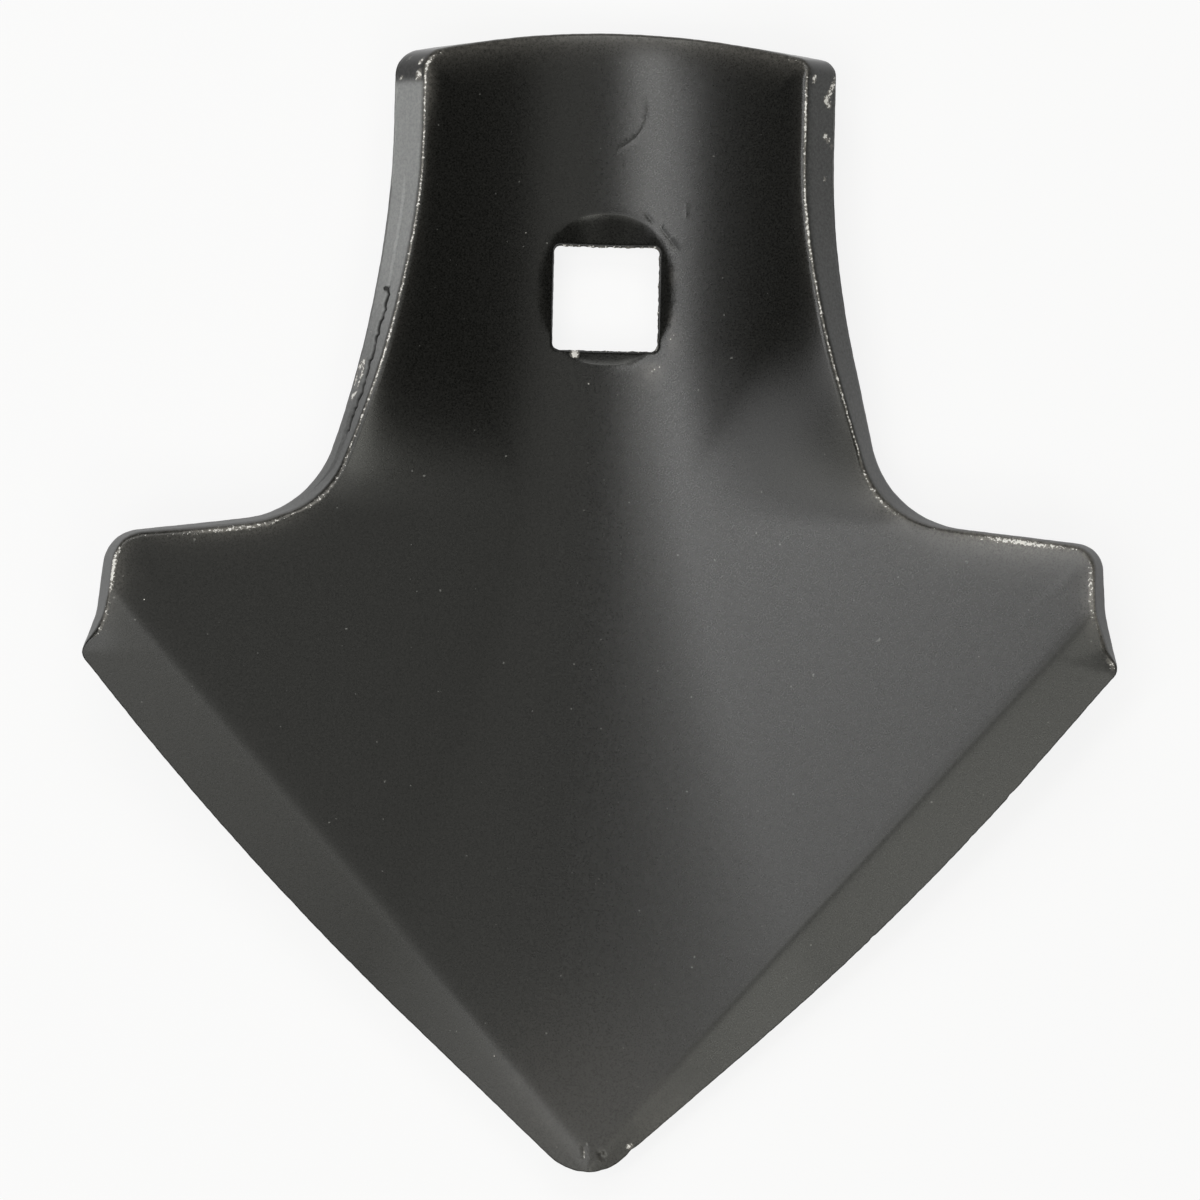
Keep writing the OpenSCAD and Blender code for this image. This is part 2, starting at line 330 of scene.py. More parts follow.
def form_normal(x, y):
    """Upward normals of the pressed form."""
    slope_x = (form_z(x + SLOPE_STEP, y) - form_z(x - SLOPE_STEP, y)) / (2 * SLOPE_STEP)
    slope_y = (form_z(x, y + SLOPE_STEP) - form_z(x, y - SLOPE_STEP)) / (2 * SLOPE_STEP)
    normal = np.column_stack([-slope_x, -slope_y, np.ones_like(slope_x)])
    return normal / np.linalg.norm(normal, axis=1)[:, None]


def thickness(plan):
    """Thickness of the steel, less on the bevel."""
    x, y = plan.T
    turn = math.radians(BEVEL_ANGLE)
    past_bevel = (np.abs(x) - (y - BEVEL_TIP_Y) * math.tan(turn)) * math.cos(turn)
    soft = BEVEL_SOFT_LEFT + (BEVEL_SOFT_RIGHT - BEVEL_SOFT_LEFT) * smooth(x / SIDE_BLEND + 0.5)
    return PLATE_T - soft_max(past_bevel, 0, soft) * math.tan(math.radians(BEVEL_FALL))


def over_back(plan, height):
    """Points of the plate at a height over its back."""
    x, y = plan.T
    lift = np.broadcast_to(height, x.shape)[:, None] - RIM_R
    return np.column_stack([x, y, form_z(x, y)]) + form_normal(x, y) * lift


def dished(place):
    """Points of the face, let down into the dish round the hole."""
    x, y = ((place[:, :2] - DISH_PLACE) / DISH_HALF).T
    reach = (np.abs(x) ** DISH_POWER + np.abs(y) ** DISH_POWER) ** (1 / DISH_POWER)
    drop = soft_max((1 - reach) * DISH_DROP, 0, DISH_SOFT) - soft_max(-DISH_DROP, 0, DISH_SOFT)
    lowered = place.copy()
    lowered[:, 2] -= np.where(reach < DISH_REACH, drop, 0)
    return lowered


def under_face(plan, depth):
    """Points of the plate at a depth under its face, which rolls over toward the sheared rim."""
    distance, nearest = nearest_on(outline, plan)
    rolled = roll_depth[nearest] * np.exp(-distance / roll_width[nearest])
    return dished(over_back(plan, thickness(plan) - depth - rolled))


# How far the sheared edge face leans in from the back to the face. The cutting edges stand upright.
LEANS = [((-38.0, 66.0), 9.0, 0.35), (RIGHT_END, 5.0, 0.45), (LEFT_END, 4.0, 0.3)]
NECK_LEAN = 0.35
NECK_LEAN_FROM_Y = 88
NECK_LEAN_BLEND = 14
neck_lean = NECK_LEAN * smooth((outline_y - NECK_LEAN_FROM_Y) / NECK_LEAN_BLEND) * (1 - at_top)
upright = (thickness(outline) - RIM_R) * np.sum(form_normal(*outline.T)[:, :2] * outline_normal, axis=1)
lean_in = spread(LEANS, neck_lean) * (1 - cutting) + upright * cutting


# Mesh

# What each point carries, as shares: bare steel, thin paint (with painted light near the tip), sheared edge
# face, painted light and shade on it, painted shadow in the crack
SHARES = ("bare", "thin", "edge", "pale", "crack_shadow")
places, cells, layers = [], [], []


def add_points(place, **shares):
    """Adds points with their shares, none where not given, and gives their numbers."""
    start = sum(len(p) for p in places)
    places.append(place)
    layers.append(np.column_stack([np.broadcast_to(shares.get(name, 0.0), len(place)) for name in SHARES]))
    return np.arange(start, start + len(place))


def add_bands(loops, inward):
    """Cells between each loop of points and the next, which lies outward of it, or inward."""
    for a, b in zip(loops, loops[1:]):
        first, second = (b, a) if inward else (a, b)
        cells.extend(np.column_stack([first, second, np.roll(second, -1), np.roll(first, -1)]).tolist())


def ring_points():
    """Rows of points along the outer line of the dish, so that it stays crisp."""
    around = np.arange(0, 2 * math.pi, RING_STEP / DISH_HALF.mean())
    circle = np.column_stack([np.cos(around), np.sin(around)])
    circle = circle / (np.sum(np.abs(circle) ** DISH_POWER, axis=1) ** (1 / DISH_POWER))[:, None]
    rows = [DISH_PLACE + circle * DISH_HALF * reach for reach in (1 - RING_ROW, 1, 1 + RING_ROW)]
    return plan_under(np.vstack(rows), under_face)


# Scratches in the face: half width, depth, share of bare steel and the points they run through
SCRATCHES = [
    (0.06, 0.01, 0.0, [
        (3.57, 108.8), (3.6, 107.8), (3.42, 106.8), (3.06, 105.8), (2.4, 104.9), (1.5, 104.2), (0.8, 103.8),
    ]),
    (0.09, 0.05, 0.0, [(3.7, 97.1), (4.35, 96.4)]),
    (0.08, 0.04, 0.0, [(5.2, 95.8), (6.0, 94.8), (6.9, 93.7)]),
    (0.06, 0.008, 0.0, [(7.65, 98.1), (7.7, 96.9)]),
    (0.10, 0.04, 0.8, [(-0.5, 2.5), (-0.45, 1.2)]),
    (0.25, 0.18, 0.0, [(1.2, 1.9), (1.5, 1.6)]),
]
SCRATCH_END = 0.12
# Spots of bare steel in the face: place and half size
SPOTS = [
    ((4.6, 81.3), 0.16), ((4.85, 81.5), 0.12), ((5.35, 81.75), 0.14), ((5.5, 94.6), 0.16),
    ((5.9, 93.8), 0.14), ((6.4, 84.6), 0.13), ((6.7, 85.0), 0.1), ((-9.8, 11.6), 0.12), ((-6.9, 5.9), 0.15),
    ((-46.0, 57.0), 0.12), ((-8.5, 95.0), 0.12), ((-1.8, 79.9), 0.14), ((-3.2, 95.0), 0.12),
]
SPOT_BARE = 1.6
# Places where the paint is rubbed thin, and two broad patches at (0, 4) and (7.5, 5) that are painted light
# on the tip and its right bevel: place, half size and strength
RUBBED_AND_LIT_PLACES = [
    ((-7.4, 9.2), 0.5, 0.25), ((-5.6, 5.0), 0.5, 0.2), ((-4.4, 5.05), 0.6, 0.25), ((-2.5, 5.1), 0.35, 0.2),
    ((-1.0, 2.9), 0.4, 0.25), ((0.2, 0.9), 1.2, 0.25), ((4.6, 94.0), 0.4, 0.3), ((0.0, 4.0), 13.0, 0.17),
    ((6.6, 84.6), 1.6, 0.3), ((5.2, 81.4), 1.3, 0.34), ((7.2, 86.5), 0.9, 0.2), ((7.4, 91.0), 0.8, 0.16),
    ((-7.0, 92.5), 0.7, 0.12), ((-7.1, 88.5), 0.6, 0.1), ((5.8, 94.2), 0.7, 0.2), ((7.5, 5.0), 6.0, 0.22),
]
# Thin paint beside the rim of the face, and how far it reaches in
NECK_THIN = 0.06
TOP_THIN = 0.32
NECK_THIN_W = 0.5
WING_THIN_MORE_W = 0.6
rim_thin = spread(
    [
        ((42.0, 65.5), 9.0, 0.7), ((30.0, 69.0), 5.0, 0.45), ((50.5, 60.0), 5.0, 0.35),
        ((-38.0, 65.0), 9.0, 0.3), ((-50.5, 60.0), 5.0, 0.3), ((-21.5, 110.0), 4.0, 0.4),
    ],
    NECK_THIN * on_neck + TOP_THIN * at_top,
)
rim_thin_w = NECK_THIN_W + WING_THIN_MORE_W * (1 - on_neck)


def rubbed_and_lit(plan):
    """Share of thin paint in the rubbed places, and of painted light in the two broad patches near the tip.
    """
    return np.max([strength * hump(away(plan, place), half) for place, half, strength in RUBBED_AND_LIT_PLACES], axis=0)


def thinned(plan):
    """Share of thin paint on the face, with the painted light near the tip."""
    distance, nearest = nearest_on(outline, plan)
    thin = rim_thin[nearest] * np.exp(-np.maximum(distance - RIM_R, 0) / rim_thin_w[nearest])
    return np.maximum(thin, rubbed_and_lit(plan))


def scratch_points():
    """Points along the scratches and over the spots, with their depths and their shares of bare steel."""
    rows, depths, bare = [], [], []
    for half_w, depth, bare_share, line in SCRATCHES:
        line = np.array(line)
        run = np.concatenate([[0], np.cumsum(np.hypot(*np.diff(line, axis=0).T))])
        marks = np.linspace(0, run[-1], max(2, round(run[-1] / SCRATCH_STEP)) + 1)
        middle = np.column_stack([np.interp(marks, run, line[:, k]) for k in (0, 1)])
        way = np.gradient(middle, axis=0)
        across = np.column_stack([way[:, 1], -way[:, 0]]) / np.hypot(*way.T)[:, None]
        ends = np.sqrt(np.sin(np.linspace(SCRATCH_END, 1 - SCRATCH_END, len(marks)) * math.pi))
        for offset, share in ((-1, 0), (0, 1), (1, 0)):
            rows.append(middle + across * offset * half_w)
            depths.append(share * depth * ends)
            bare.append(share * bare_share * ends)
    around = np.arange(SPOT_SIDES) * 2 * math.pi / SPOT_SIDES
    circle = np.column_stack([np.cos(around), np.sin(around)])
    for place, half_size in SPOTS:
        rows.append(np.vstack([place, place + half_size * circle]))
        depths.append(np.zeros(1 + SPOT_SIDES))
        bare.append(np.concatenate([[SPOT_BARE], np.zeros(SPOT_SIDES)]))
    return plan_under(np.vstack(rows), under_face), np.concatenate(depths), np.concatenate(bare)


def inside_points(step, rim, hole, kept):
    """Points of a staggered grid and of the kept lines, inside the rim and outside the hole."""
    right, left = (rim[rim[:, 0] * side >= 0] for side in (1, -1))
    right, left = (half[np.argsort(half[:, 1])] for half in (right, left))

    def inside(points):
        low = np.interp(points[:, 1], left[:, 1], left[:, 0])
        high = np.interp(points[:, 1], right[:, 1], right[:, 0])
        clear = nearest_on(np.vstack([rim, hole]), points)[0] > step * CLEAR_SHARE
        past_hole = np.abs(points - HOLE_PLACE) > np.abs(hole - HOLE_PLACE).max(axis=0)
        return points[(points[:, 0] > low) & (points[:, 0] < high) & clear & past_hole.any(axis=1)]

    span = np.arange(rim[:, 0].min(), rim[:, 0].max(), step)
    heights = np.arange(rim[:, 1].min(), rim[:, 1].max(), step * math.sqrt(0.75))
    rows = [
        np.column_stack([span + row % 2 * step / 2, np.full(len(span), y)])
        for row, y in enumerate(heights)
    ]
    grid = inside(np.vstack(rows))
    if not len(kept):
        return grid
    kept = inside(kept)
    return np.vstack([kept, grid[nearest_on(kept, grid)[0] > step * CLEAR_SHARE]])


def add_sheet(step, rim, hole, lines, surface, flip):
    """Fills the sheet between the rim and the hole, each given as point numbers and plan, with triangles.

    The lines are rows of points that the sheet keeps, with their depths and their shares of bare steel.
    """
    kept, depths, bare = lines
    inner = inside_points(step, rim[1], hole[1], kept)
    depth, bare_share = np.zeros((2, len(inner)))
    if len(kept):
        distance, nearest = nearest_on(kept, inner)
        depth, bare_share = (np.where(distance < SAME_PLACE, values[nearest], 0) for values in (depths, bare))
    plan = np.vstack([rim[1], hole[1], inner])
    thin = 0.0 if flip else thinned(inner)
    ids = np.concatenate([rim[0], hole[0], add_points(surface(inner, depth), bare=bare_share, thin=thin)])
    loops = [np.arange(len(rim[1])), len(rim[1]) + np.arange(len(hole[1]))]
    edges = np.vstack([np.column_stack([loop, np.roll(loop, -1)]) for loop in loops])
    inside_only, least_gap = 1, 1e-7
    filled = delaunay_2d_cdt([Vector(p) for p in plan], edges.tolist(), [], inside_only, least_gap)
    triangles = np.array(filled[2])
    over_hole = np.isin(triangles, loops[1]).all(axis=1)
    triangles = triangles[~over_hole]
    cells.extend(ids[triangles[:, ::-1] if flip else triangles].tolist())


def quarter_turn(steps):
    """Angles from nought to a right angle."""
    return np.radians(np.linspace(0, 90, steps + 1))


# Wear along the rim of the face, and a painted glint on a bare burr near the tip
LEAST_WEAR = 0.12
NECK_WEAR = 0.5
SIDE_WEAR = 0.2
rim_wear = spread(
    [
        ((-21.8, 110.5), 3.5, 1.1), ((-22.0, 98.0), 9.0, 0.85), ((-24.5, 82.0), 9.0, 1.05),
        ((-31.0, 69.0), 6.0, 0.65), ((-38.0, 65.5), 6.0, 0.85), ((-50.5, 60.0), 2.4, 1.7),
        ((-51.0, 55.5), 2.5, 0.7), ((22.2, 107.0), 6.0, 1.1), ((22.2, 96.0), 7.0, 1.2),
        ((24.0, 82.0), 8.0, 0.95), ((29.0, 71.0), 5.0, 0.75), ((43.0, 65.5), 5.0, 1.2),
        # The last stop is a bare burr near the tip, painted bright white as a glint
        ((50.5, 60.0), 3.5, 0.8), ((51.4, 52.8), 0.8, 1.3), ((4.5, 2.4), 0.3, 1.6),
    ],
    LEAST_WEAR + NECK_WEAR * on_neck + SIDE_WEAR * (1 - cutting) * (1 - at_top),
)
# The wear lies on the ridge along the neck, and a little to the side of the face along the wings
WING_WEAR_SHIFT = 0.35
NECK_WEAR_W = 0.13
WING_WEAR_MORE_W = 0.17
LEFT_END_LESS = 0.8
left_end = wing_ends * on_left
right_end = wing_ends * (1 - on_left)
wear_shift = WING_WEAR_SHIFT * (1 - on_neck) * (1 - LEFT_END_LESS * left_end)
wear_w = NECK_WEAR_W + WING_WEAR_MORE_W * (1 - on_neck) * (1 - LEFT_END_LESS * left_end)
# Painted light and shade on the edge face: pale on the left of the neck, which faces the lamps, rising from
# its foot up to its dark top corner; dark on the right, in shade
PALE_FROM_Y = 74
PALE_BLEND = 20
PALE_TO_Y = 109.6
CORNER_OVERLAP = 0.6
CORNER_BLEND = 0.8
FOOT_TONE = 0.3
RIGHT_TONE = 0.12
WING_END_LESS_TONE = 0.1
rising = smooth((outline_y - PALE_FROM_Y) / PALE_BLEND)
below_corner = smooth((PALE_TO_Y + CORNER_OVERLAP - outline_y) / CORNER_BLEND)
left_edge_light = FOOT_TONE + (1 - FOOT_TONE) * rising * below_corner
left_edge_light = left_edge_light - FOOT_TONE * smooth(outline_y - PALE_TO_Y)
right_edge_light = RIGHT_TONE - WING_END_LESS_TONE * wing_ends
edge_light_and_shade = on_left * left_edge_light + right_edge_light * (1 - on_left)

# The seam between the smooth and the torn band of the sheared edge face, and the tear on the left flank
SEAM_SHARE = 0.5
SEAM_SWING = 0.015
TEAR_SWING = 0.04
SEAM_WAVES = (9.0, 4.0, 1.9, 1.2, 0.8)
TEAR_FROM_Y = 74.2
TEAR_TO_Y = 89.5
TEAR_START_BLEND = 1.2
TEAR_END_BLEND = 0.5
TEAR_STRENGTH = 0.8
TEAR_UNEVEN = 0.25
TEAR_WAVES = (3.1, 1.7, 0.9)
TEAR_DEPTH = 0.5
STEP_TO_Y = 102.0
STEP_BLEND = 4
STEP_DEPTH = 0.2
STEP_STEEPNESS = 9
HOOK_BELOW = 0.55
HOOK_LEN = 0.25
left_flank = on_left * smooth((outline_y - NECK_FROM_Y) / STEP_BLEND)
left_flank = left_flank * smooth((STEP_TO_Y - outline_y) / STEP_BLEND)
tear = on_left * smooth((outline_y - TEAR_FROM_Y) / TEAR_START_BLEND)
tear = tear * smooth((TEAR_TO_Y - outline_y) / TEAR_END_BLEND)
seam = SEAM_SHARE + (SEAM_SWING + TEAR_SWING * tear) * ripple(outline_run, SEAM_WAVES, 2)
tear = tear * (TEAR_STRENGTH + TEAR_UNEVEN * ripple(outline_run, TEAR_WAVES, 3))
hook = on_left * hump(outline_y - TEAR_TO_Y + HOOK_BELOW, HOOK_LEN)
SEAM_ROWS = (
    0.0, 0.12, 0.24, 0.34, 0.4, 0.44, 0.465, 0.485, 0.5,
    0.515, 0.535, 0.56, 0.6, 0.66, 0.76, 0.88, 1.0,
)
CRACK_W = 0.09
HOOK_GAP = 0.11
HOOK_W = 0.1

# Chips in the paint of the edge faces: height, share of the edge face, half length, half width, side
EDGE_CHIP_BARE = 1.5
CHIPS = [
    (81.6, 0.72, 0.5, 0.07, -1), (80.5, 0.64, 0.9, 0.05, -1), (79.2, 0.66, 0.9, 0.05, -1),
    (78.2, 0.78, 0.5, 0.07, -1), (79.7, 0.9, 0.8, 0.05, -1), (81.0, 0.86, 0.4, 0.06, -1),
    (84.6, 0.8, 0.2, 0.05, -1), (110.5, 0.06, 0.6, 0.12, -1), (110.2, 0.78, 0.2, 0.05, -1),
    (111.9, 0.1, 0.35, 0.08, -1), (112.3, 0.7, 0.2, 0.05, -1), (111.2, 0.96, 0.5, 0.06, 1),
    (110.4, 0.87, 0.45, 0.07, 1), (109.7, 0.76, 0.4, 0.08, 1), (109.0, 0.63, 0.5, 0.1, 1),
    (108.4, 0.73, 0.3, 0.08, 1), (105.3, 0.62, 0.35, 0.09, 1), (104.9, 0.72, 0.35, 0.06, 1),
    (104.3, 0.86, 0.3, 0.03, 1), (101.0, 0.62, 0.2, 0.06, 1), (111.0, 0.12, 0.45, 0.06, 1),
    (107.0, 0.97, 0.2, 0.04, 1),
]


def chipped(share):
    """Share of bare steel in the chips at a share of the edge face's height."""
    bare = np.zeros(len(outline))
    for y, chip_share, half_len, half_w, side in CHIPS:
        near = EDGE_CHIP_BARE * hump(outline_y - y, half_len) * hump(share - chip_share, half_w)
        bare = np.maximum(bare, np.where(outline_x * side > 0, near, 0))
    return bare


# Rows of the band beside the rim of the face, and thin paint on the rim at the right wing end
BAND_ROWS = (1, 0.66, 0.33, 0.05)
RIGHT_END_THIN = 0.5


def add_rim():
    """The rolled rim of the face, the sheared edge face and the rim of the back. Gives both end loops."""
    loops = []
    ridge = face_rim_r * math.pi / 4
    # Rubbed places along the rim, with the painted light near the tip
    rubbed = rubbed_and_lit(outline)

    def add_row(inset, surface, level, **shares):
        plan = outline - outline_normal * np.broadcast_to(inset, len(outline))[:, None]
        loops.append((add_points(surface(plan, level), pale=edge_light_and_shade, **shares), plan))

    def worn(across):
        """Share of bare steel at a distance across the rim, from the ridge toward the edge face."""
        return rim_wear * hump(across + wear_shift, wear_w)

    for share in BAND_ROWS:
        inset = face_rim_r + (RIM_BAND - face_rim_r) * share
        fade = np.exp(-np.maximum(inset - RIM_R, 0) / rim_thin_w)
        thin = np.maximum(rim_thin * fade, rubbed)
        add_row(lean_in + inset, under_face, 0, bare=worn(face_rim_r - inset - ridge), thin=thin)
    for turn in quarter_turn(FACE_RIM_STEPS)[:-1]:
        inset = face_rim_r * (1 - math.sin(turn))
        depth = face_rim_r * (1 - math.cos(turn))
        edge = (1 - at_top) * smooth(turn / (math.pi / 4) - 1)
        thin = np.maximum(rim_thin + RIGHT_END_THIN * right_end, rubbed)
        bare = worn(face_rim_r * turn - ridge)
        add_row(lean_in + inset, under_face, depth, bare=bare, thin=thin, edge=edge)
    full = thickness(outline)
    for row in SEAM_ROWS:
        share = np.where(row < 0.5, 2 * row * seam, seam + (2 * row - 1) * (1 - seam))
        depth = face_rim_r + (full - face_rim_r - RIM_R) * share
        gap = (row - 0.5) * 2
        step = STEP_DEPTH * left_flank * smooth(gap * STEP_STEEPNESS + 0.5)
        groove = TEAR_DEPTH * tear * hump(gap, CRACK_W)
        bare = np.maximum(worn(ridge + depth - face_rim_r), chipped(share))
        inset = lean_in * (1 - depth / full) + groove - step + STEP_DEPTH * left_flank
        # The crack and the hook are painted near black: painted shadow in the gap of the tear
        crack_shadow = np.maximum(tear * hump(gap, CRACK_W), hook * hump(gap - HOOK_GAP, HOOK_W))
        add_row(inset, under_face, depth, bare=bare, edge=1 - at_top, crack_shadow=crack_shadow)
    for turn in quarter_turn(BACK_RIM_STEPS)[::-1][1:]:
        inset = RIM_R * (1 - math.sin(turn))
        add_row(inset, over_back, RIM_R * (1 - math.cos(turn)), edge=(1 - at_top) * turn / (math.pi / 2))
    add_row(RIM_BAND, over_back, 0)
    add_bands([ids for ids, plan in loops], inward=False)
    return loops[0], loops[-1]


def plan_under(target, surface):
    """Plan points from which a surface comes to lie straight over the target points."""
    plan = target
    for _ in range(SEARCH_ROUNDS):
        plan = plan + target - surface(plan, 0)[:, :2]
    return plan


# A chip out of the paint at the lower edge of the hole
CHIP_PLACE = (-3.24, 83.1)
CHIP_HALF = 0.4
CHIP_BARE = 1.6
# The burr round the hole: strength by side, unevenness, and rows as shares of its width with their drops
BURR_LEAST = 0.15
BURR_TOP = 0.75
BURR_RIGHT = 0.45
BURR_FOOT = 0.3
BURR_STRENGTH = 0.85
BURR_UNEVEN = 0.3
BURR_WAVES = (2.9, 1.3, 0.7)
BURR_ROWS = ((0.15, 0), (0.6, 0.01), (1, 0.04))
EDGE_BARE = 0.2
BURR_BARE = 0.75
# The wall of the hole: its rows, its thin paint, its bare steel below the burr and at the back
WALL_ROWS = (0.1, 0.3, 0.5, 0.7, 0.9)
WALL_THIN = 0.6
WALL_BARE = 0.6
WALL_BARE_REACH = 0.15
BACK_BARE = 0.3
HOLE_BAND_ROWS = (1, 0.7, 0.4)


def add_hole():
    """The rounded edges and the wall of the bolt hole. Gives its loops on the face and on the back."""
    loops = []
    run = np.arange(len(hole_loop)) * HOLE_STEP
    across, along = hole_normal.T
    burr = BURR_LEAST + BURR_TOP * smooth(along) + BURR_RIGHT * smooth(across) + BURR_FOOT * smooth(-along)
    burr = np.clip(burr * (BURR_STRENGTH + BURR_UNEVEN * ripple(run, BURR_WAVES, 4)), 0, 1)
    chip = CHIP_BARE * hump(away(hole_loop, CHIP_PLACE), CHIP_HALF)
    taper = HOLE_TAPER * smooth(-along)

    def add_row(outset, surface, drop, bare):
        plan = plan_under(hole_loop + hole_normal * np.broadcast_to(outset, len(burr))[:, None], surface)
        lowered = np.column_stack([np.zeros((len(burr), 2)), np.broadcast_to(drop, len(burr))])
        loops.append((add_points(surface(plan, 0) - lowered, bare=bare), plan))

    for share in HOLE_BAND_ROWS:
        add_row(HOLE_BAND * share, under_face, 0, chip * (share < 1))
    for turn in quarter_turn(HOLE_EDGE_STEPS):
        outset = HOLE_EDGE_R * (1 - math.sin(turn))
        add_row(outset, under_face, HOLE_EDGE_R * (1 - math.cos(turn)), np.maximum(EDGE_BARE * burr, chip))
    for reach, drop in BURR_ROWS:
        add_row(-BURR_W * burr * reach, under_face, HOLE_EDGE_R + drop, np.maximum(BURR_BARE * burr, chip))
    top = places[-1]
    foot = over_back(plan_under(hole_loop - hole_normal * taper[:, None], over_back), 0) + [0, 0, HOLE_EDGE_R]
    for share in WALL_ROWS:
        wall = top + (foot - top) * share
        bare = WALL_BARE * burr * hump(share, WALL_BARE_REACH)
        loops.append((add_points(wall, bare=bare, thin=WALL_THIN), hole_loop))
    for turn in quarter_turn(HOLE_EDGE_STEPS)[::-1]:
        outset = HOLE_EDGE_R * (1 - math.sin(turn)) - taper * math.sin(turn)
        add_row(outset, over_back, -HOLE_EDGE_R * (1 - math.cos(turn)), BACK_BARE)
    add_row(HOLE_BAND, over_back, 0, 0)
    add_bands([ids for ids, plan in loops], inward=True)
    return loops[0], loops[-1]


def build_plate():
    """The plate as one closed mesh, in metres."""
    face_rim, back_rim = add_rim()
    face_hole, back_hole = add_hole()
    scratches, depths, bare = scratch_points()
    ring = ring_points()
    ring = ring[nearest_on(scratches, ring)[0] > RING_STEP]
    flat = np.zeros(len(ring))
    lines = np.vstack([scratches, ring]), np.concatenate([depths, flat]), np.concatenate([bare, flat])
    add_sheet(FACE_STEP, face_rim, face_hole, lines, under_face, False)
    no_lines = np.empty((0, 2)), None, None
    add_sheet(BACK_STEP, back_rim, back_hole, no_lines, over_back, True)
    place = (np.vstack(places) + [0, -PLATE_LEN / 2, RIM_R]) * MM
    mesh = bpy.data.meshes.new("sweep_plate")
    mesh.from_pydata(place.tolist(), [], cells)
    mesh.polygons.foreach_set("use_smooth", [True] * len(mesh.polygons))
    for name, values in zip(SHARES, np.vstack(layers).T):
        layer = mesh.attributes.new(name, "FLOAT", "POINT")
        layer.data.foreach_set("value", values.astype(np.float32))
    mesh.update()
    plate = bpy.data.objects.new("sweep_plate", mesh)
    bpy.context.scene.collection.objects.link(plate)
    return plate


# Materials

# Colours of the paint and of the steel under it, from dark to light where they are mottled
BLACK = (0, 0, 0, 1), (0.019, 0.019, 0.0178, 1)
# Edge colours that are painted shade and painted light: the dark one for edge faces in shade, the pale one
# for the lit left side
SHADED_EDGE = (0.012, 0.012, 0.012, 1), (0.065, 0.065, 0.067, 1)
LIT_EDGE = (0.25, 0.255, 0.26, 1), (0.37, 0.375, 0.38, 1)
# Painted shadow in the crack
CRACK_SHADOW = (0.004, 0.004, 0.004, 1)
DUST = (0.5, 0.5, 0.48, 1)
GREY_STEEL = (0.2, 0.19, 0.175, 1)
BRIGHT_STEEL = (0.9, 0.88, 0.85, 1)
SATIN_ROUGHNESS = 0.26, 0.3
EDGE_ROUGHNESS = 0.55
STEEL_ROUGHNESS = 0.45
RUBBED_METALLIC = 0.3
BUMP_STRENGTH = 0.12
BUMP_HEIGHT = 0.00006
SCUFF_HEIGHT = 4.0
FLOOR_GREY = (0.9, 0.9, 0.9, 1)
FLOOR_WHITE_SHARE = 0.85
WHITE = (1, 1, 1, 1)


def add_node(tree, kind, inputs=None, **settings):
    """Adds a node, with its settings and with each input set or linked."""
    made = tree.nodes.new(kind)
    for name, value in settings.items():
        setattr(made, name, value)
    for name, value in (inputs or {}).items():
        if isinstance(value, bpy.types.NodeSocket):
            tree.links.new(value, made.inputs[name])
        else:
            made.inputs[name].default_value = value
    return made


def new_material(name):
    material = bpy.data.materials.new(name)
    material.use_nodes = True
    material.node_tree.nodes.clear()
    return material, material.node_tree


def math_node(tree, operation, a, b):
    return add_node(tree, "ShaderNodeMath", {0: a, 1: b}, operation=operation).outputs["Value"]


def ranged(tree, value, low, high, to_low, to_high):
    """A value taken from one range to another, and held there."""
    inputs = {"Value": value, "From Min": low, "From Max": high, "To Min": to_low, "To Max": to_high}
    return add_node(tree, "ShaderNodeMapRange", inputs).outputs["Result"]


def mixed_colour(tree, share, a, b):
    return add_node(tree, "ShaderNodeMix", {"Factor": share, 6: a, 7: b}, data_type="RGBA").outputs[2]


def mixed_value(tree, share, a, b):
    return add_node(tree, "ShaderNodeMix", {"Factor": share, 2: a, 3: b}, data_type="FLOAT").outputs[0]


